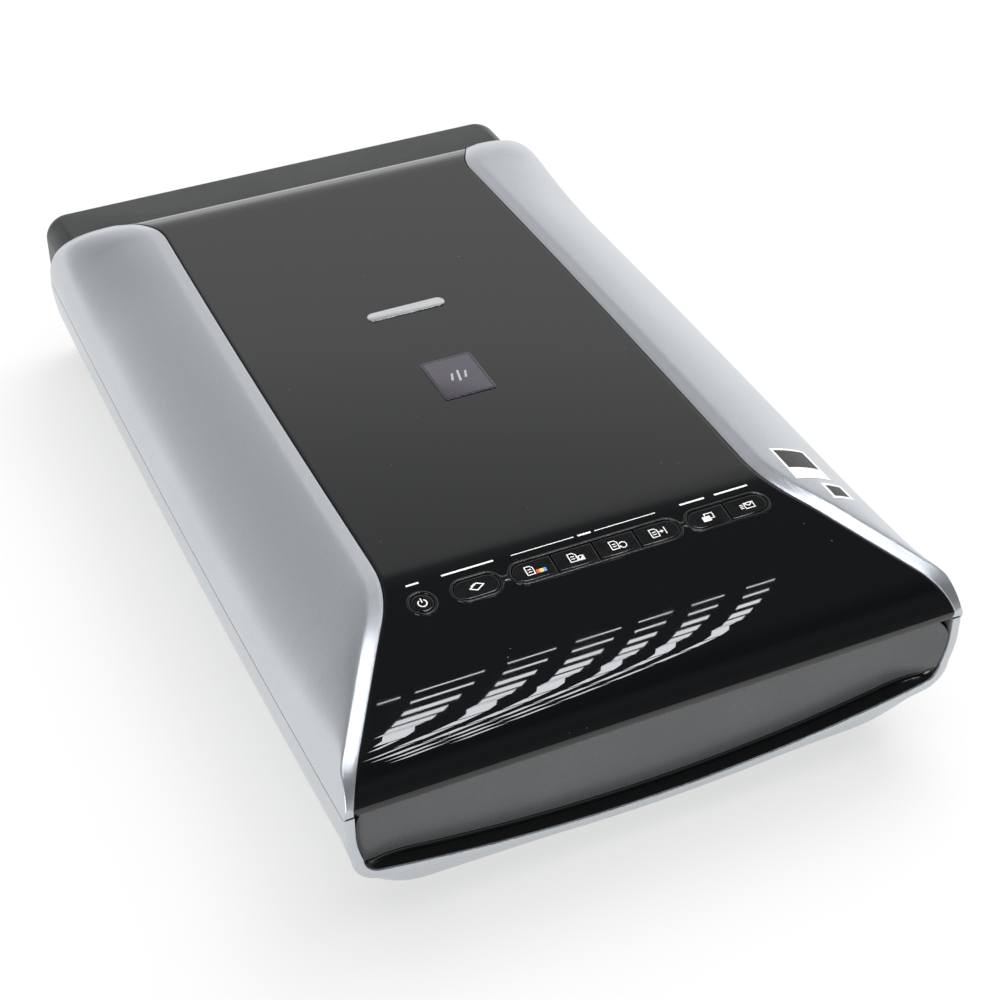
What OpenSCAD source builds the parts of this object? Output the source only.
// A4 flatbed scanner with a film-lamp lid: a low silver case, a glossy black lid panel
// between two silver side panels, a black housing for the lift hinges at the rear, and
// the belt-driven lamp and lens carriage under the glass.
// X runs across the scanner, the user sits at -Y, and Z = 0 is the desk.

/* [Case] */
// Width across the middle of the case
body_w = 270; // [262:1:280]
// Height of the seam between case and lid
seam_z = 64; // [62:0.5:68]
// Distance from the origin to the front face
front_len = 218; // [214:1:226]
// Wall thickness of the moulded shells
wall = 2.5; // [2:0.1:3]
// Height of the rubber feet
foot_h = 3; // [2:0.5:5]

/* [Lid] */
// Height of the black panel above the desk
lid_top_z = 95.4; // [92:0.2:100]
// Half the width of the black panel where its edges run straight
panel_half_w = 83; // [78:1:88]
// Slope of the front of the lid in degrees
front_slope = 14.5; // [12:0.5:17]
// How far the silver side panels stand above the black panel
side_proud = 1; // [0.4:0.1:1.6]
// Width of the bright bevel beside the black panel
bevel_w = 6.2; // [4:0.2:8]

/* [Platen] */
// Width of the scanning window
window_w = 216; // [210:1:218]
// Length of the scanning window
window_l = 297; // [290:1:298]
// Thickness of the glass
glass_t = 3; // [2:0.5:3]

/* [Hinge] */
// Distance from the middle to each hinge
hinge_x = 70; // [60:1:76]
// Radius of the steel hinge pins
pin_r = 1.5; // [1.2:0.1:1.6]

/* [Drive] */
// Radius of the carriage guide rod
rod_r = 4; // [3:0.5:4]
// Teeth of the motor pinion
pinion_teeth = 12; // [10:1:14]
// Teeth of the reduction gear
gear_teeth = 48; // [40:1:50]
// Radius on which the belt runs on both pulleys
pulley_r = 7; // [6:0.5:7]

/* [Buttons] */
// Distance of the row of buttons from the origin, towards the user
button_y = 151; // [148:1:154]
// Half the depth of a button
button_r = 5.2; // [4.6:0.1:5.4]

/* [Hidden] */

// ---- main levels and limits ------------------------------------------------------
front_y = -front_len;
half_w = body_w / 2;
lid_rear_y = 186;
case_rear_y = lid_rear_y + 0.4;
housing_rear_y = 218;
housing_half_w = 124.5;
housing_top_z = 79;
rim_z = seam_z - 0.4;
lid_edge_z = seam_z + 0.2;
deck_z = seam_z - 0.8;
floor_z = foot_h + wall;
cut = 1;

// The sides bow out a little: this is half the width at a distance y along the case.
function side_x(y) = half_w - 0.000045 * pow(y + 80, 2);
// A vertical corner of radius r at the rear end takes this much off the half width.
side_corner_r = 6;
function corner_cut(y, rear, r) =
    y <= rear - r ? 0 : r - sqrt(max(0, r * r - pow(y - rear + r, 2)));

// ---- lid surface -------------------------------------------------------------------
crest_y = -128;
blend_r = 150;
nose_r = 24;
nose_end = 66;
rear_start_y = 153;
rear_blend_r = 47;
rear_edge_r = 5;
blend_end_y = crest_y - blend_r * sin(front_slope);
blend_end_z = lid_top_z - blend_r * (1 - cos(front_slope));
nose_y = front_y + nose_r * sin(nose_end);
nose_start_y = nose_y - nose_r * sin(front_slope);
nose_z = blend_end_z - (blend_end_y - nose_start_y) * tan(front_slope)
    - nose_r * cos(front_slope);
rear_edge_y = lid_rear_y - rear_edge_r;
rear_angle = asin((rear_edge_y - rear_start_y) / (rear_blend_r - rear_edge_r));
rear_edge_z = lid_top_z - rear_blend_r + (rear_blend_r - rear_edge_r) * cos(rear_angle);
rear_turn_y = rear_start_y + rear_blend_r * sin(rear_angle);

// Height of the black panel along the lid: flat, a long blend, a straight slope and a
// rounded nose above a short upright lip at the front, and a large and then a smaller
// arc down to the upright rear face.
function lid_z(y) =
    y < front_y || y > lid_rear_y ? lid_edge_z :
    y < nose_start_y ? nose_z + sqrt(max(0, nose_r * nose_r - pow(y - nose_y, 2))) :
    y < blend_end_y ? blend_end_z - (blend_end_y - y) * tan(front_slope) :
    y < crest_y ? lid_top_z - blend_r + sqrt(pow(blend_r, 2) - pow(crest_y - y, 2)) :
    y < rear_start_y ? lid_top_z :
    y < rear_turn_y ? lid_top_z - rear_blend_r + sqrt(pow(rear_blend_r, 2)
        - pow(y - rear_start_y, 2)) :
    rear_edge_z + sqrt(max(0, pow(rear_edge_r, 2) - pow(y - rear_edge_y, 2)));
// The same surface a wall thickness further in, closed at both ends.
function lid_inner_z(y) =
    max(lid_edge_z + 0.15, min(lid_z(y), lid_z(y - wall), lid_z(y + wall)) - wall);

// Plan of the border between the black panel and a silver side. It draws in a little
// towards the rear, and flares out at both ends: an arc, and then a straight run.
border_bow = 0.000055;
flare_y = -123.5;
flare_r = 60;
flare_angle = 31;
rear_flare_y = 145;
rear_flare_r = 30;
rear_flare_angle = 27;
// How far a border that turns by this angle has moved out, at d past the start of its arc.
function flare(d, r, angle) =
    d < 0 ? 0 :
    d < r * sin(angle) ? r - sqrt(pow(r, 2) - pow(d, 2)) :
    r * (1 - cos(angle)) + (d - r * sin(angle)) * tan(angle);
function border_x(y) =
    panel_half_w - border_bow * pow(max(0, y + 80), 2)
    + flare(flare_y - y, flare_r, flare_angle)
    + flare(y - rear_flare_y, rear_flare_r, rear_flare_angle);

// Stations along the lid, closer together where the surface turns.
lid_y = concat(
    [for (a = [nose_end:-8:front_slope]) nose_y - nose_r * sin(a)],
    [for (y = [-199:9:crest_y - 8]) y],
    [for (y = [crest_y:90:rear_start_y]) y],
    [for (a = [0:9:rear_flare_angle]) rear_flare_y + rear_flare_r * sin(a)],
    [for (a = [10:7.5:rear_angle]) rear_start_y + rear_blend_r * sin(a)],
    [for (a = [rear_angle + 2:12:90]) rear_edge_y + rear_edge_r * sin(a)],
    [lid_rear_y]
);

// Cross-section of a silver side panel at y: up the bevel beside the black panel, over
// a rounded shoulder and down to the seam, then back along the inside of the wall.
shoulder_steps = 9;
// Power of the shoulder's superellipse: soft along the lid, and squarer at its rear end.
shoulder_rear_y = 100;
function side_power(y) =
    1.6 + 1.2 * pow(max(0, y - shoulder_rear_y) / (lid_rear_y - shoulder_rear_y), 2);
function side_outer_w(y) = side_x(y) - corner_cut(y, lid_rear_y, side_corner_r);
function shoulder(x0, x1, h, i, n) =
    let (a = 90 * i / shoulder_steps)
    [x0 + (x1 - x0) * pow(sin(a), 2 / n), h * pow(cos(a), 2 / n)];
function side_ring(y) =
    let (
        b = border_x(y) + 0.3,
        w = side_outer_w(y),
        c = b + min(bevel_w, 0.6 * (w - b)),
        h = lid_z(y) - lid_edge_z,
        rise = min(side_proud, 0.3 * h),
        hi = lid_inner_z(y) - lid_edge_z,
        t = min(wall, 0.4 * (w - c)),
        n = side_power(y)
    )
    concat(
        [[b, y, lid_edge_z + h]],
        [for (i = [0:shoulder_steps])
            let (p = shoulder(c, w, h + rise, i, n)) [p[0], y, lid_edge_z + p[1]]],
        [for (i = [shoulder_steps:-1:0])
            let (p = shoulder(c, w - t, hi, i, n)) [p[0], y, lid_edge_z + p[1]]],
        [[b, y, lid_edge_z + hi]]
    );
// A closed solid through a list of rings with equal numbers of points.
module loft(rings) {
    n = len(rings[0]);
    m = len(rings);
    polyhedron(
        points = [for (r = rings) for (p = r) p],
        faces = concat(
            [[for (j = [0:n - 1]) j]],
            [for (i = [0:m - 2]) for (j = [0:n - 1])
                [i * n + j, (i + 1) * n + j, (i + 1) * n + (j + 1) % n]],
            [for (i = [0:m - 2]) for (j = [0:n - 1])
                [i * n + j, (i + 1) * n + (j + 1) % n, i * n + (j + 1) % n]],
            [[for (j = [n - 1:-1:0]) (m - 1) * n + j]]
        )
    );
}

// ---- helpers --------------------------------------------------------------------------
// A box given by its low and high corners.
module box(a, b) {
    translate(a) cube(b - a);
}
// Extrudes an X-Z drawing from y0 to y1.
module along_y(y0, y1) {
    translate([0, y1, 0]) rotate([90, 0, 0]) linear_extrude(y1 - y0) children();
}
// Extrudes a Y-Z drawing from x0 to x1.
module along_x(x0, x1) {
    translate([x0, 0, 0]) rotate([90, 0, 90]) linear_extrude(x1 - x0) children();
}
// A round rod along X or along Y.
module rod_x(x0, x1, r) {
    translate([x0, 0, 0]) rotate([0, 90, 0]) cylinder(r = r, h = x1 - x0, $fn = 48);
}
module rod_y(y0, y1, r) {
    translate([0, y0, 0]) rotate([-90, 0, 0]) cylinder(r = r, h = y1 - y0, $fn = 48);
}
// Mirrors its child to both sides.
module both_sides() {
    children();
    mirror([1, 0, 0]) children();
}

// ---- case -------------------------------------------------------------------------------
// Outline of the silver front rim, seen from the front and moved in by d.
rim_corner_x = 118.5;
rim_corner_z = 40;
rim_corner_r = 13;
rim_bottom_z = 16;
rim_meet = 10.5;
function smile_z(x, d) =
    let (x1 = rim_corner_x + (rim_corner_r - d) * sin(rim_meet),
        z1 = rim_corner_z - (rim_corner_r - d) * cos(rim_meet))
    rim_bottom_z + d + (z1 - rim_bottom_z - d) * pow(x / x1, 2);
function rim_half(d) = concat(
    [[side_x(front_y) - d, rim_z], [side_x(front_y) - d, 53]],
    [for (a = [0:10:90 - rim_meet])
        [rim_corner_x + (rim_corner_r - d) * cos(a), rim_corner_z - (rim_corner_r - d) * sin(a)]],
    [for (x = [110:-22:0]) [x, smile_z(x, d)]]
);
function mirrored(half) =
    concat(half, [for (i = [len(half) - 1:-1:0]) if (half[i][0] > 0) [-half[i][0], half[i][1]]]);
module rim_outline(d) {
    polygon(mirrored(rim_half(d)));
}
// Section of the case body: sides that curve under from the rim to the flat bottom.
under_w = 40;
module body_section(w, d) {
    h = rim_z - foot_h - d;
    polygon(mirrored(
        [for (a = [0:9:90]) [w - under_w + (under_w - d) * cos(a), rim_z - h * sin(a)]]
    ));
}
// The case as a solid, moved in by d; d is nothing for its outside.
module case_solid(d) {
    tuck_y = -202;
    hull() {
        along_y(front_y + d, front_y + d + 1) rim_outline(d);
        for (y = [tuck_y, -130, -40, 50, 120, 170])
            along_y(y, y + 1) body_section(side_x(y), d);
        for (y = [176, 180, 183 - d, case_rear_y - d - 1])
            along_y(y, y + 1) body_section(side_x(y) - corner_cut(y, case_rear_y, side_corner_r), d);
    }
}
// Plan of the rear housing, with two round rear corners, and its outline from behind: larger
// round ends at the top, and sides that curve under with the case below the rim.
housing_corner_r = 6;
housing_end_r = 10;
module round_tab(half, y0, y1, r, d) {
    translate([-half + d, y0]) square([2 * (half - d), y1 - r - y0]);
    translate([-half + r, y0]) square([2 * (half - r), y1 - d - y0]);
    for (s = [-1, 1])
        translate([s * (half - r), y1 - r]) circle(r = r - d, $fn = 48);
}
module housing_plan(d) {
    round_tab(housing_half_w, case_rear_y + d, housing_rear_y, housing_corner_r, d);
}
module housing_ends(d) {
    along_y(case_rear_y, housing_rear_y) intersection() {
        round_tab(housing_half_w, 0, housing_top_z, housing_end_r, d);
        union() {
            body_section(side_x(case_rear_y), d);
            translate([-housing_half_w, rim_z - cut]) square([2 * housing_half_w, housing_top_z]);
        }
    }
}
boss_points = [[121, -186], [122, -60], [122, 60], [120, 158]];
boss_top_z = 50;
screw_seat_z = 30;
rim_w = 4.4;
lock_x = -86;
lock_y = 96;
lock_travel = 8;
tail_z = 10;
foot_points = [[80, -160], [80, 198]];
foot_r = 9;

module lower_case() {
    color("silver") difference() {
        union() {
            difference() {
                case_solid(0);
                case_solid(wall);
                box([-half_w, front_y + wall + cut, rim_z - 0.01], [half_w, case_rear_y - wall, rim_z + cut]);
            }
            intersection() {
                translate([0, 0, foot_h]) linear_extrude(tail_z - foot_h) housing_plan(0);
                housing_ends(0);
            }
            intersection() {
                case_solid(0);
                both_sides() for (p = boss_points)
                    translate([p[0], p[1], 0]) cylinder(r = 5.5, h = boss_top_z, $fn = 40);
            }
        }
        // Hollow of the tail under the rear housing.
        intersection() {
            translate([0, 0, floor_z]) linear_extrude(tail_z) housing_plan(wall);
            housing_ends(wall);
        }
        // Opening inside the front rim, open towards the lid.
        along_y(front_y - cut, front_y + wall + cut) rim_outline(rim_w);
        along_y(front_y - cut, front_y + wall + cut)
            polygon([[-128, 55], [128, 55], [side_x(front_y) - rim_w, rim_z + cut],
                [-side_x(front_y) + rim_w, rim_z + cut]]);
        // Screw holes from below.
        both_sides() for (p = boss_points) translate([p[0], p[1], 0]) {
            translate([0, 0, -cut]) cylinder(r = 4, h = screw_seat_z + cut, $fn = 40);
            cylinder(r = 1.5, h = boss_top_z + cut, $fn = 32);
        }
        // Slot of the transport lock.
        box([lock_x - 4.4, lock_y - lock_travel - 4.4, foot_h - cut],
            [lock_x + 4.4, lock_y + 4.4, floor_z + cut]);
    }
}

// Black finger recess inside the front rim: a shallow tray whose ends curve forward, with
// a small pocket beside each end, and the panel around it that closes the case in front.
recess_depth = 7.5;
recess_end_l = 23;
recess_lip = 0.8;
panel_rear_y = front_y + recess_depth + wall;
recess_half_w = side_x(front_y) - rim_w - recess_lip;
pocket_w = 8;
pocket_z = 55;
module recess() {
    intersection() {
        along_y(front_y - cut, front_y + recess_depth) rim_outline(rim_w + recess_lip);
        linear_extrude(rim_z + cut) polygon(mirrored(concat(
            [[recess_half_w, front_y - cut]],
            [for (a = [0:10:90])
                [recess_half_w - recess_end_l * (1 - cos(a)), front_y + recess_depth * sin(a)]]
        )));
    }
    both_sides() box([recess_half_w - pocket_w, front_y - cut, pocket_z],
        [recess_half_w, front_y + recess_depth, rim_z + cut]);
}
module front_panel() {
    color("dimgray") difference() {
        union() {
            along_y(front_y + 1, front_y + wall + 0.2) rim_outline(rim_w);
            along_y(front_y + wall + 0.2, panel_rear_y) rim_outline(wall + 0.4);
        }
        recess();
        box([-half_w, front_y, deck_z], [half_w, 0, rim_z + cut]);
    }
}

// Dark deck around the glass.
deck_gap = 0.4;
window_y = -25;
glass_gap = 5;
ledge_z = deck_z - 3.4 - 2.4;
module window_box(grow, z0, z1) {
    box([-window_w / 2 - grow, window_y - window_l / 2 - grow, z0],
        [window_w / 2 + grow, window_y + window_l / 2 + grow, z1]);
}
module platen_frame() {
    color("#2b2d2e") difference() {
        union() {
            translate([0, 0, deck_z - 2.8]) linear_extrude(2.8) polygon(mirrored(concat(
                [for (y = [panel_rear_y + deck_gap, -190, -140, -80, -10, 60, 120, 176, 180, 183.4])
                    [side_x(y) - corner_cut(y, case_rear_y, side_corner_r) - wall - deck_gap, y]]
            )));
            window_box(glass_gap + 4, ledge_z, deck_z - cut);
            both_sides() for (p = boss_points)
                translate([p[0], p[1], boss_top_z]) cylinder(r = 4.5, h = deck_z - boss_top_z - cut, $fn = 40);
        }
        window_box(glass_gap + 0.4, deck_z - 0.4 - glass_t, deck_z + cut);
        window_box(0, ledge_z - cut, deck_z + cut);
        both_sides() for (p = boss_points)
            translate([p[0], p[1], 0]) cylinder(r = 1.5, h = boss_top_z + 7, $fn = 32);
    }
}
module platen_glass() {
    color([0.75, 0.85, 0.85, 0.4]) window_box(glass_gap, deck_z - 0.4 - glass_t, deck_z - 0.4);
}
module calibration_strip() {
    y = window_y + window_l / 2;
    color("white") box([-window_w / 2, y + 0.5, ledge_z - 0.8], [window_w / 2, y + 8, ledge_z]);
}
module feet() {
    color("#333333") both_sides() for (p = foot_points)
        translate([p[0], p[1], 0]) cylinder(r = foot_r, h = foot_h, $fn = 48);
}
module case_screws() {
    color("gray") both_sides() for (p = boss_points) translate([p[0], p[1], 0]) {
        difference() {
            translate([0, 0, screw_seat_z - 3]) cylinder(r = 3.4, h = 3, $fn = 40);
            box([-2.4, -0.5, screw_seat_z - 4], [2.4, 0.5, screw_seat_z - 1.6]);
            box([-0.5, -2.4, screw_seat_z - 4], [0.5, 2.4, screw_seat_z - 1.6]);
        }
        translate([0, 0, screw_seat_z]) cylinder(r = 1.5, h = boss_top_z + 6 - screw_seat_z, $fn = 32);
    }
}
// Rubber pads on the deck that carry the closed lid by its tray.
module lid_bumpers() {
    color("#303030") both_sides() for (y = [front_y + 29, 60])
        translate([side_x(y) - 10.5, y, deck_z]) cylinder(r = 2.4, h = tray_z0 - deck_z - 0.3, $fn = 32);
}

// ---- rear housing and sockets ------------------------------------------------------------
axis_y = lid_rear_y + 4;
axis_z = 75.5;
post_half_w = 11;
post_y0 = axis_y - 2.7;
post_y1 = axis_y + 2.7;
post_foot_z = 30;
post_gap = 0.4;
shelf_z = 60;
dc_x = 92;
usb_x = 66;
socket_z = 34;
dc_half_w = 6.8;
usb_half_w = 7;
usb_half_h = 6.4;
panel_x0 = 54;
panel_x1 = 104;
panel_z1 = 46;
panel_gap = 0.2;
module housing_profile(d) {
    polygon([[case_rear_y + d, tail_z + (d > 0 ? -cut : 0)], [housing_rear_y - d, tail_z + (d > 0 ? -cut : 0)],
        [housing_rear_y - d, housing_top_z - d], [axis_y + d, housing_top_z - d],
        [axis_y - 1.7 + d, housing_top_z - 1.7 - d], [axis_y - 1.7 + d, shelf_z - d],
        [case_rear_y + d, shelf_z - d]]);
}
module rear_housing() {
    color("#26282a") difference() {
        union() {
            intersection() {
                difference() {
                    along_x(-housing_half_w, housing_half_w) housing_profile(0);
                    intersection() {
                        along_x(-housing_half_w, housing_half_w) housing_profile(wall);
                        linear_extrude(housing_top_z) housing_plan(wall);
                        housing_ends(wall);
                    }
                }
                linear_extrude(housing_top_z + cut) housing_plan(0);
                housing_ends(0);
            }
            // Guides around the lift posts.
            both_sides() difference() {
                box([hinge_x - post_half_w - 3, case_rear_y, tail_z + 4],
                    [hinge_x + post_half_w + 3, post_y1 + post_gap + wall, housing_top_z - wall]);
                box([0, 0, shelf_z], [half_w, axis_y - 1.7, housing_top_z]);
            }
        }
        both_sides() box([hinge_x - post_half_w - post_gap, case_rear_y - cut, post_foot_z - 0.5],
            [hinge_x + post_half_w + post_gap, post_y1 + post_gap, housing_top_z + cut]);
        // Notch for the socket panel, open at the bottom edge.
        box([panel_x0, housing_rear_y - 2 * wall, tail_z - cut], [panel_x1, housing_rear_y + cut, panel_z1]);
    }
}
// Plate in the notch of the rear wall, with a hole for each socket.
module socket_panel() {
    color("#26282a") difference() {
        box([panel_x0 + panel_gap, housing_rear_y - wall, tail_z + panel_gap],
            [panel_x1 - panel_gap, housing_rear_y, panel_z1 - panel_gap]);
        box([dc_x - dc_half_w - panel_gap, housing_rear_y - 2 * wall, socket_z - dc_half_w - panel_gap],
            [dc_x + dc_half_w + panel_gap, housing_rear_y + cut, socket_z + dc_half_w + panel_gap]);
        box([usb_x - usb_half_w - panel_gap, housing_rear_y - 2 * wall, socket_z - usb_half_h - panel_gap],
            [usb_x + usb_half_w + panel_gap, housing_rear_y + cut, socket_z + usb_half_h + panel_gap]);
    }
}
module dc_jack() {
    color("#1c1c1c") difference() {
        box([dc_x - dc_half_w, housing_rear_y - 15, socket_z - dc_half_w],
            [dc_x + dc_half_w, housing_rear_y, socket_z + dc_half_w]);
        translate([dc_x, 0, socket_z]) rod_y(housing_rear_y - 10, housing_rear_y + cut, 3.4);
    }
}
module usb_socket() {
    color("silver") difference() {
        box([usb_x - usb_half_w, housing_rear_y - 17, socket_z - usb_half_h],
            [usb_x + usb_half_w, housing_rear_y, socket_z + usb_half_h]);
        box([usb_x - 4.4, housing_rear_y - 10, socket_z - 4.1], [usb_x + 4.4, housing_rear_y + cut, socket_z + 4.1]);
    }
}

// ---- electronics in the case --------------------------------------------------------------
board_x0 = 34;
board_x1 = 90;
module main_board() {
    color("darkgreen") {
        box([board_x0, -160, floor_z + 3], [board_x1, -40, floor_z + 4.6]);
        for (p = [[board_x0 + 5, -154], [board_x1 - 5, -154], [board_x0 + 5, -46], [board_x1 - 5, -46]])
            translate([p[0], p[1], floor_z]) cylinder(r = 3, h = 3, $fn = 32);
    }
    color("#202020") {
        box([48, -120, floor_z + 4.6], [70, -98, floor_z + 7]);
        box([52, -84, floor_z + 4.6], [66, -74, floor_z + 7]);
        box([75, -130, floor_z + 4.6], [87, -104, floor_z + 12]);
    }
    color("steelblue") for (y = [-150, -140])
        translate([56, y, floor_z + 4.6]) cylinder(r = 4, h = 9, $fn = 40);
}
ribbon_x0 = 72;
ribbon_x1 = 86;
module flat_cable() {
    color("white") {
        box([ribbon_x0, -64, floor_z + 4.6], [ribbon_x1, -40, floor_z + 5]);
        box([ribbon_x0, -40, floor_z], [ribbon_x1, -39.6, floor_z + 5]);
        box([ribbon_x0, -39.6, floor_z], [ribbon_x1, 96, floor_z + 0.4]);
    }
}

// ---- carriage and its drive ------------------------------------------------------------------
slit_y = 128;
car_y0 = slit_y - 18;
car_y1 = slit_y + 40;
car_x = 112;
car_z0 = 22;
car_z1 = 52;
car_wall = 2;
rod_x0 = -60;
rod_z = 15.2;
bush_r = 6.5;
bush_l = 11;
bush_y = [car_y0 + 2, car_y1 - 2 - bush_l];
rod_y0 = -199;
rod_y1 = 173.5;
module guide_rod() {
    color("lightgray") translate([rod_x0, 0, rod_z]) rod_y(rod_y0, rod_y1, rod_r);
}
module rod_brackets() {
    color("gray") for (y = [rod_y0 + 1, rod_y1 - 5]) difference() {
        box([rod_x0 - 9, y, floor_z], [rod_x0 + 9, y + 4, rod_z + 6]);
        translate([rod_x0, 0, rod_z]) rod_y(y - cut, y + 5, rod_r);
    }
}
rail_x = 91;
rail_w = 10;
rail_z = 19;
module slide_rail() {
    color("gray") {
        box([rail_x, rod_y0 + 4, floor_z], [rail_x + 2, rod_y1 - 4, rail_z]);
        box([rail_x, rod_y0 + 4, rail_z - 1.5], [rail_x + rail_w, rod_y1 - 4, rail_z]);
    }
}
module carriage_housing() {
    color("#3a3a3c") {
        difference() {
            box([-car_x, car_y0, car_z0], [car_x, car_y1, car_z1]);
            box([-car_x + car_wall, car_y0 + car_wall, car_z0 + car_wall],
                [car_x - car_wall, car_y1 - car_wall, car_z1 + cut]);
        }
        for (y = bush_y) difference() {
            box([rod_x0 - 9, y, rod_z - 7.8], [rod_x0 + 9, y + bush_l, car_z0]);
            translate([rod_x0, 0, rod_z]) rod_y(y - cut, y + bush_l + cut, bush_r);
        }
        box([rail_x + 2, car_y0 + 4, rail_z + 0.4], [rail_x + rail_w - 1, car_y1 - 4, car_z0]);
        box([belt_x - pulley_r - 7, slit_y - 10, gear_z + gear_t + 0.6],
            [belt_x - pulley_r - 1.7, slit_y - 2, car_z0]);
    }
}
module carriage_bushes() {
    color("#b08d57") for (y = bush_y) translate([rod_x0, 0, rod_z]) difference() {
        rod_y(y, y + bush_l, bush_r);
        rod_y(y - cut, y + bush_l + cut, rod_r + 0.05);
    }
}
module carriage_cover() {
    z0 = car_z1 - 3.5;
    color("#3a3a3c") difference() {
        box([-car_x + car_wall, car_y0 + car_wall, z0], [car_x - car_wall, car_y1 - car_wall, z0 + 1.5]);
        box([-108, slit_y - 2, z0 - cut], [108, slit_y + 2, z0 + 3]);
    }
}
module lamp_bars() {
    color("white") for (s = [-1, 1])
        box([-108, slit_y + s * 7.5 - 3, car_z1 - 2], [108, slit_y + s * 7.5 + 3, car_z1 + 2.6]);
}
module tilted_strip(y, z, tilt, w) {
    translate([0, y, z]) rotate([tilt, 0, 0]) box([-100, -w / 2, -0.75], [100, w / 2, 0.75]);
}
module scan_mirrors() {
    color("lightcyan") {
        tilted_strip(slit_y, 29.5, -42, 12);
        tilted_strip(car_y0 + 7, 38, 68, 13);
        tilted_strip(slit_y + 22, 45.4, 8, 12);
    }
}
lens_z = 33;
module lens_barrel() {
    y0 = slit_y + 11;
    color("#1a1a1a") difference() {
        union() {
            translate([0, 0, lens_z]) rod_y(y0, y0 + 13, 8);
            box([-6, y0 + 2, car_z0 + car_wall], [6, y0 + 11, lens_z - 6]);
        }
        translate([0, 0, lens_z]) rod_y(y0 - cut, y0 + 14, 5.5);
    }
    color("lightblue") translate([0, 0, lens_z]) rod_y(y0 + 1.5, y0 + 11.5, 5.5);
}
module sensor_board() {
    y0 = slit_y + 32;
    color("darkgreen") box([-38, y0, car_z0 + car_wall], [38, y0 + 1.6, car_z0 + 21]);
    color("#202020") box([-22, y0 - 3, lens_z - 4], [22, y0, lens_z + 4]);
}
// Gear wheel with straight-sided teeth of module 1, one tooth pointing along +X.
module gear_outline(teeth) {
    pitch_r = teeth / 2;
    step = 360 / teeth;
    root_r = pitch_r - 1.2;
    tip_r = pitch_r + 0.85;
    polygon([for (i = [0:teeth - 1]) each [
        [root_r * cos((i - 0.29) * step), root_r * sin((i - 0.29) * step)],
        [tip_r * cos((i - 0.12) * step), tip_r * sin((i - 0.12) * step)],
        [tip_r * cos((i + 0.12) * step), tip_r * sin((i + 0.12) * step)],
        [root_r * cos((i + 0.29) * step), root_r * sin((i + 0.29) * step)]
    ]]);
}
belt_x = 10;
gear_y = 140;
gear_z = floor_z + 0.6;
gear_t = 3;
centre_gap = (pinion_teeth + gear_teeth) / 2;
motor_x = belt_x + centre_gap;
axle_r = 2;
belt_z = gear_z + gear_t + 1.4;
belt_w = 5;
idler_y = -190;
module gear_axle() {
    color("lightgray") translate([belt_x, gear_y, 0]) {
        translate([0, 0, floor_z]) cylinder(r = axle_r, h = belt_z + belt_w + 2.4 - floor_z, $fn = 40);
        translate([0, 0, belt_z + belt_w + 1.9]) cylinder(r = 3.6, h = 0.8, $fn = 40);
    }
}
module reduction_gear() {
    color("ivory") translate([belt_x, gear_y, gear_z]) difference() {
        linear_extrude(gear_t) gear_outline(gear_teeth);
        translate([0, 0, -cut]) cylinder(r = axle_r + 0.05, h = gear_t + 2 * cut, $fn = 40);
        for (a = [30:60:330]) rotate(a) translate([15, 0, -cut]) cylinder(r = 4, h = gear_t + 2 * cut, $fn = 32);
    }
}
// A belt pulley with two flanges, standing on z = 0.
module pulley(bore) {
    difference() {
        union() {
            cylinder(r = pulley_r + 1.6, h = 1, $fn = 64);
            cylinder(r = pulley_r, h = belt_w + 2.8, $fn = 64);
            translate([0, 0, belt_w + 1.8]) cylinder(r = pulley_r + 1.6, h = 1, $fn = 64);
        }
        translate([0, 0, -cut]) cylinder(r = bore, h = belt_w + 5, $fn = 40);
    }
}
pulley_z = gear_z + gear_t;
module drive_pulley() {
    color("gainsboro") translate([belt_x, gear_y, pulley_z]) pulley(axle_r + 0.05);
}
module idler_pulley() {
    color("gainsboro") translate([belt_x, idler_y, pulley_z]) pulley(axle_r + 0.05);
}
module belt_tensioner() {
    color("gray") {
        box([belt_x - 6, idler_y - 7, floor_z], [belt_x + 6, idler_y + 22, floor_z + 2]);
        translate([belt_x, idler_y, floor_z + 2]) cylinder(r = axle_r, h = pulley_z + belt_w + 3.6 - floor_z - 2, $fn = 40);
        translate([belt_x, idler_y, floor_z + 2]) cylinder(r = 3.4, h = pulley_z - 0.4 - floor_z - 2, $fn = 40);
        translate([belt_x, idler_y + 16, floor_z + 2]) cylinder(r = 3, h = 1.8, $fn = 40);
    }
}
module belt_loop(grow) {
    r = pulley_r + grow;
    translate([belt_x - r, idler_y]) square([2 * r, gear_y - idler_y]);
    for (y = [idler_y, gear_y]) translate([belt_x, y]) circle(r = r, $fn = 64);
}
module drive_belt() {
    color("#202020") translate([0, 0, belt_z]) linear_extrude(belt_w) difference() {
        belt_loop(1.3);
        belt_loop(0.3);
    }
}
motor_z = gear_z + gear_t + 0.8;
module drive_motor() {
    color("lightslategray") translate([motor_x, gear_y, 0]) {
        translate([0, 0, motor_z]) cylinder(r = 17, h = car_z0 - 0.8 - motor_z, $fn = 64);
        // Steel mounting plate with two legs on the case floor.
        for (s = [-1, 1]) {
            box([-4, s * 22 - 4, floor_z], [4, s * 22 + 4, motor_z + 1]);
            box([-4, min(s * 15, s * 22) - 1, motor_z], [4, max(s * 15, s * 22) + 1, motor_z + 1]);
        }
    }
}
module motor_pinion() {
    color("goldenrod") translate([motor_x, gear_y, gear_z])
        linear_extrude(gear_t) rotate(pinion_teeth % 2 == 0 ? 180 / pinion_teeth : 0)
            gear_outline(pinion_teeth);
}
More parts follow.
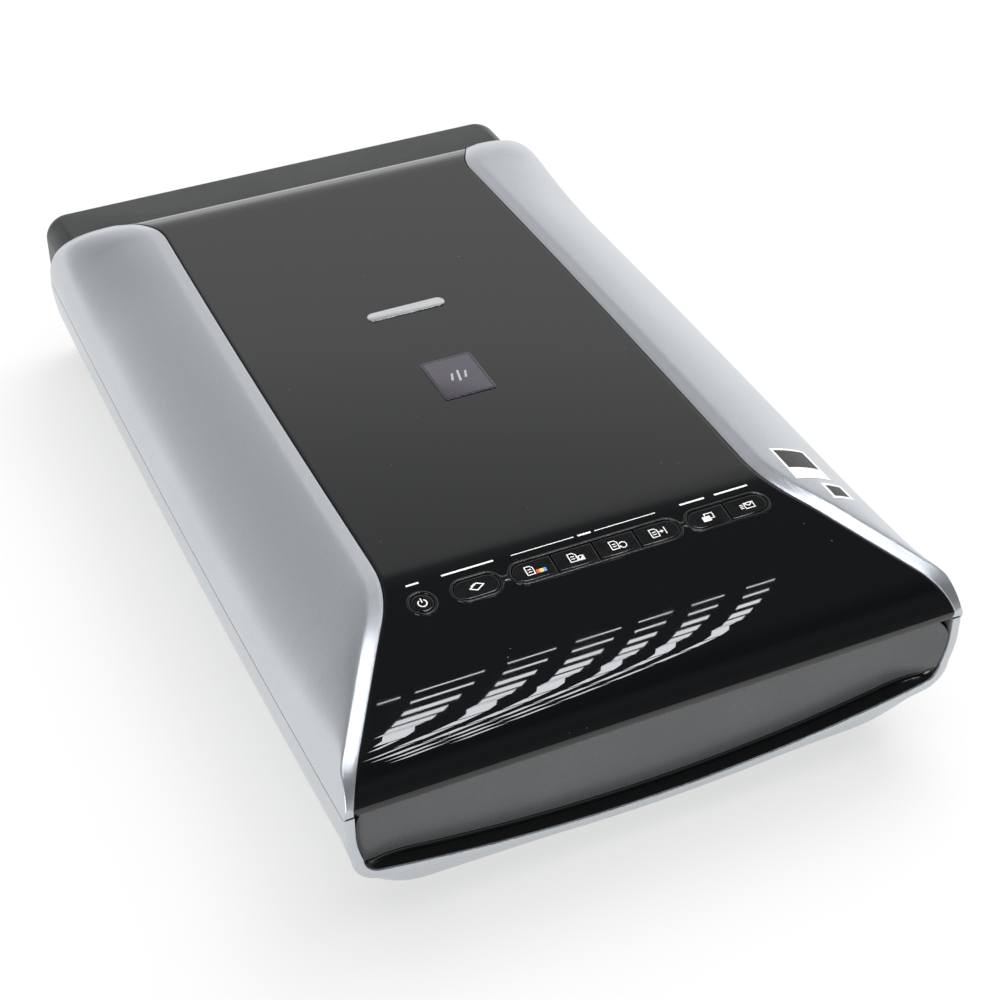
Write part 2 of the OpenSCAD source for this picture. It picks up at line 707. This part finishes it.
module lock_switch() {
    color("#44464a") {
        box([lock_x - 4, lock_y - 4, foot_h + 0.3], [lock_x + 4, lock_y + 4, floor_z + 0.3]);
        box([lock_x - 8, lock_y - lock_travel - 6, floor_z + 0.3], [lock_x + 8, lock_y + lock_travel + 6, floor_z + 1.8]);
        box([lock_x - 3, lock_y - 3, floor_z + 1.8], [lock_x + 3, lock_y + 3, car_z0 - 2]);
    }
}

// ---- hinges ------------------------------------------------------------------------------------
knuckle_half_w = 6.5;
knuckle_r = 2.8;
module hinge_post(x) {
    color("#2a2a2c") translate([x, 0, 0]) difference() {
        union() {
            box([-post_half_w, post_y0, post_foot_z], [post_half_w, post_y1, axis_z]);
            translate([0, axis_y, axis_z]) rod_x(-post_half_w, post_half_w, 2.7);
        }
        box([-knuckle_half_w - 0.4, post_y0 - cut, axis_z - knuckle_r - 0.5],
            [knuckle_half_w + 0.4, post_y1 + cut, axis_z + 4]);
        translate([0, axis_y, axis_z]) rod_x(-post_half_w - cut, post_half_w + cut, pin_r);
    }
}
module hinge_post_left() {
    hinge_post(-hinge_x);
}
module hinge_post_right() {
    hinge_post(hinge_x);
}
module hinge_pins() {
    color("lightgray") both_sides() translate([hinge_x, axis_y, axis_z])
        rod_x(-post_half_w, post_half_w, pin_r);
}
tray_z0 = seam_z + 2.8;
tray_z1 = tray_z0 + 2.5;
bracket_y = 150;
module hinge_bracket(x) {
    color("gray") translate([x, 0, 0]) difference() {
        union() {
            box([-knuckle_half_w, bracket_y, tray_z1], [knuckle_half_w, lid_rear_y - 6, axis_z + knuckle_r]);
            box([-knuckle_half_w, bracket_y, axis_z - knuckle_r], [knuckle_half_w, axis_y, axis_z + knuckle_r]);
            translate([0, axis_y, axis_z]) rod_x(-knuckle_half_w, knuckle_half_w, knuckle_r);
        }
        translate([0, axis_y, axis_z]) rod_x(-knuckle_half_w - cut, knuckle_half_w + cut, pin_r + 0.05);
    }
}
module hinge_bracket_left() {
    hinge_bracket(-hinge_x);
}
module hinge_bracket_right() {
    hinge_bracket(hinge_x);
}

// ---- lid -----------------------------------------------------------------------------------------
button_slope = asin((crest_y + button_y) / blend_r);
// Places its child on the lid's front slope at x, standing along the surface normal.
module on_slope(x) {
    translate([x, -button_y, lid_z(-button_y)]) rotate([button_slope, 0, 0]) children();
}
// A lozenge with round ends from x0 to x1 and half height r.
module pill(x0, x1, r) {
    translate([x0 + r, -r]) square([x1 - x0 - 2 * r, 2 * r]);
    for (x = [x0 + r, x1 - r]) translate([x, 0]) circle(r = r, $fn = 48);
}
power_x = -73.5;
power_r = 5;
auto_span = [-60.3, -40.6];
document_span = [-35.4, 39];
mail_span = [43, 79.4];
bezel_w = 1.3;
neck_r = 1.6;
module button_holes(grow) {
    translate([power_x, 0]) circle(r = power_r + grow, $fn = 48);
    for (s = [auto_span, document_span, mail_span]) pill(s[0] - grow, s[1] + grow, button_r + grow);
}
module bezel_outline() {
    button_holes(bezel_w);
    for (x = [[auto_span[1], document_span[0]], [document_span[1], mail_span[0]]])
        translate([x[0], -neck_r]) square([x[1] - x[0], 2 * neck_r]);
}
bezel_depth = 3;
module button_bezel() {
    color("#141618") on_slope(0) translate([0, 0, -bezel_depth]) linear_extrude(bezel_depth + 0.5) difference() {
        bezel_outline();
        button_holes(0);
    }
}
panel_edge = 0.15;
module lid_centre_panel() {
    color("#1a1c1e") difference() {
        intersection() {
            along_x(-half_w, half_w) difference() {
                polygon(concat([[front_y, lid_edge_z]], [for (y = lid_y) [y, lid_z(y)]],
                    [[lid_rear_y, lid_edge_z]]));
                polygon(concat([[front_y + wall, lid_edge_z - cut]],
                    [for (y = lid_y) if (y > front_y + wall && y < lid_rear_y - wall) [y, lid_inner_z(y)]],
                    [[lid_rear_y - wall, lid_inner_z(lid_rear_y - wall - 0.1)],
                        [lid_rear_y - wall, lid_edge_z - cut]]));
            }
            linear_extrude(lid_top_z + cut) polygon(mirrored(
                [for (y = lid_y) [border_x(y) - panel_edge, y]]));
        }
        on_slope(0) translate([0, 0, -8]) linear_extrude(16) bezel_outline();
        // Windows for the hinge arms in the rear wall.
        both_sides() box([hinge_x - knuckle_half_w - 0.3, lid_rear_y - wall - cut, axis_z - knuckle_r - 0.3],
            [hinge_x + knuckle_half_w + 0.3, lid_rear_y + cut, axis_z + knuckle_r + 0.3]);
    }
}
module lid_side() {
    loft([for (y = lid_y) side_ring(y)]);
}
module lid_side_right() {
    color("#a9b0b4") lid_side();
}
module lid_side_left() {
    color("#a9b0b4") mirror([1, 0, 0]) lid_side();
}
mat_half_w = 109;
mat_y0 = window_y - window_l / 2 + 2;
mat_y1 = window_y + window_l / 2 - 2;
mat_travel = 24;
film_half_w = 37;
film_y0 = -140;
film_y1 = 96;
module lid_tray() {
    color("#3c3f42") {
        difference() {
            translate([0, 0, tray_z0]) linear_extrude(tray_z1 - tray_z0) polygon(mirrored([
                [114, front_y + 6], [114, front_y + 24], [127, front_y + 25], [128, -100],
                [127.5, 60], [124.5, 176]]));
            box([-film_half_w, film_y0, tray_z0 - cut], [film_half_w, film_y1, tray_z1 + cut]);
        }
        // Rails that hold the edges of the document mat.
        both_sides() {
            box([mat_half_w + 0.4, mat_y0 - mat_travel, lid_edge_z], [mat_half_w + 2.4, mat_y1, tray_z0]);
            box([mat_half_w - 2.6, mat_y0 - mat_travel, lid_edge_z], [mat_half_w + 0.4, mat_y1, lid_edge_z + 0.9]);
        }
    }
}
module film_light_window() {
    color("white") box([-film_half_w, film_y0, tray_z0 + 0.3], [film_half_w, film_y1, tray_z1 - 0.3]);
}
module film_lamp_box() {
    color("lightgray") difference() {
        box([-film_half_w - 3, film_y0 - 3, tray_z1], [film_half_w + 3, film_y1 + 3, tray_z1 + 9]);
        box([-film_half_w, film_y0, tray_z1 - cut], [film_half_w, film_y1, tray_z1 + 7]);
    }
    color("gold") for (s = [-1, 1])
        box([s * (film_half_w - 1) - 1, film_y0 + 4, tray_z1], [s * (film_half_w - 1) + 1, film_y1 - 4, tray_z1 + 4]);
}
module document_mat() {
    z0 = deck_z + 0.3;
    color("white") {
        box([-mat_half_w + 3, mat_y0, z0], [mat_half_w - 3, mat_y1, tray_z0 - 0.3]);
        box([-mat_half_w, mat_y0, lid_edge_z + 1.2], [mat_half_w, mat_y1, tray_z0 - 0.3]);
    }
}
board_drop = 6.6;
switch_x = [power_x, -50.4, -25.9, -7.4, 10.8, 29.3, 52, 70.2];
module button_board() {
    on_slope(0) {
        color("darkgreen") box([-82, -10, -board_drop - 1.6], [82, 10, -board_drop]);
        color("#202020") for (x = switch_x)
            translate([x, 0, -board_drop]) cylinder(r = 1.7, h = 0.9, $fn = 32);
    }
}
// A button that fills the part of an opening between two cut lines: a cap that stands
// a little proud, and a flange that keeps it from falling out of the lid.
module button_cap(span, x0, x1) {
    gap = 0.3;
    on_slope(0) {
        translate([0, 0, -bezel_depth - 0.6]) linear_extrude(bezel_depth + 0.9) intersection() {
            pill(span[0] + gap, span[1] - gap, button_r - gap);
            translate([x0 + gap, -button_r]) square([x1 - x0 - 2 * gap, 2 * button_r]);
        }
        translate([x0 + button_r, -button_r - 0.7, -bezel_depth - 1.4])
            cube([x1 - x0 - 2 * button_r, 2 * button_r + 1.4, 0.8]);
    }
}
module power_button() {
    color("#101214") on_slope(power_x) {
        translate([0, 0, -bezel_depth - 0.6]) cylinder(r = power_r - 0.3, h = bezel_depth + 0.9, $fn = 48);
        translate([0, 0, -bezel_depth - 1.4]) cylinder(r = power_r + 0.8, h = 0.8, $fn = 48);
    }
}
module auto_scan_button() {
    color("#101214") button_cap(auto_span, auto_span[0], auto_span[1]);
}
document_cuts = [document_span[0], -16.8, 1.6, 20, document_span[1]];
module document_button(i) {
    color("#101214") button_cap(document_span, document_cuts[i - 1], document_cuts[i]);
}
mail_cut = 61.2;
module document_button_1() {
    document_button(1);
}
module document_button_2() {
    document_button(2);
}
module document_button_3() {
    document_button(3);
}
module document_button_4() {
    document_button(4);
}
module copy_button() {
    color("#101214") button_cap(mail_span, mail_span[0], mail_cut);
}
module mail_button() {
    color("#101214") button_cap(mail_span, mail_cut, mail_span[1]);
}
module emblem_tile() {
    color("#4a4652") box([-12.1, -34.5, lid_top_z], [12.1, -4.6, lid_top_z + 0.4]);
}
badge_r = 3.4;
module badge_bar() {
    color("silver") translate([0, 39, lid_top_z]) linear_extrude(0.5) pill(-19, 19, badge_r);
}

lower_case();
front_panel();
platen_frame();
platen_glass();
calibration_strip();
rear_housing();
socket_panel();
dc_jack();
usb_socket();
main_board();
flat_cable();
feet();
case_screws();
lid_bumpers();
guide_rod();
rod_brackets();
slide_rail();
drive_motor();
motor_pinion();
reduction_gear();
drive_pulley();
gear_axle();
belt_tensioner();
idler_pulley();
drive_belt();
carriage_housing();
carriage_cover();
carriage_bushes();
lamp_bars();
scan_mirrors();
lens_barrel();
sensor_board();
lock_switch();
hinge_post_left();
hinge_post_right();
hinge_pins();
hinge_bracket_left();
hinge_bracket_right();
lid_centre_panel();
lid_side_left();
lid_side_right();
lid_tray();
film_light_window();
film_lamp_box();
document_mat();
button_board();
button_bezel();
power_button();
auto_scan_button();
document_button_1();
document_button_2();
document_button_3();
document_button_4();
copy_button();
mail_button();
emblem_tile();
badge_bar();
